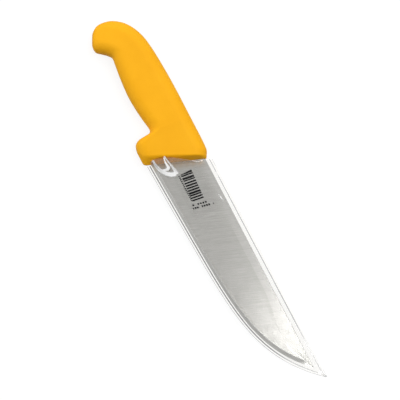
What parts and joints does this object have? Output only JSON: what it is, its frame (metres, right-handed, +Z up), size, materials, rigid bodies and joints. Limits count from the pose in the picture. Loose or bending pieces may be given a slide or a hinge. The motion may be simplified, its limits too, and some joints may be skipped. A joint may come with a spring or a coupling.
{
  "type": "butcher knife",
  "caption": "Butcher's knife lying on its side: broad straight-backed blade, moulded handle with a finger guard and hooked butt, and a clear welded film sleeve that pulls off the blade.",
  "frame": {"origin": "the point of the handle's lower side flat that is under the middle of the handle's length and of the grip's height", "axes": "+X along the blade to its tip, +Y to the back of the blade, +Z up through the thickness; the knife lies on its side"},
  "size_m": [0.344, 0.0541, 0.024],
  "materials": {
    "blade_steel": "stainless steel, finely ground across the blade, with a polished edge bevel",
    "handle_plastic": "yellow moulded plastic with a satin skin",
    "clear_film": "thin clear film with a welded border",
    "label_film": "clear sticker with a plain printed ladder of bars"
  },
  "bodies": {
    "knife": {"blade": "blade_steel", "handle": "handle_plastic"},
    "sleeve": {"sleeve_front_film": "clear_film", "sleeve_back_film": "clear_film", "clear_label": "label_film"}
  },
  "joints": [
    {"name": "sleeve_slide", "type": "slide", "parent": "knife", "child": "sleeve", "axis": [1, 0, 0], "range_m": [0, 0.22]}
  ]
}
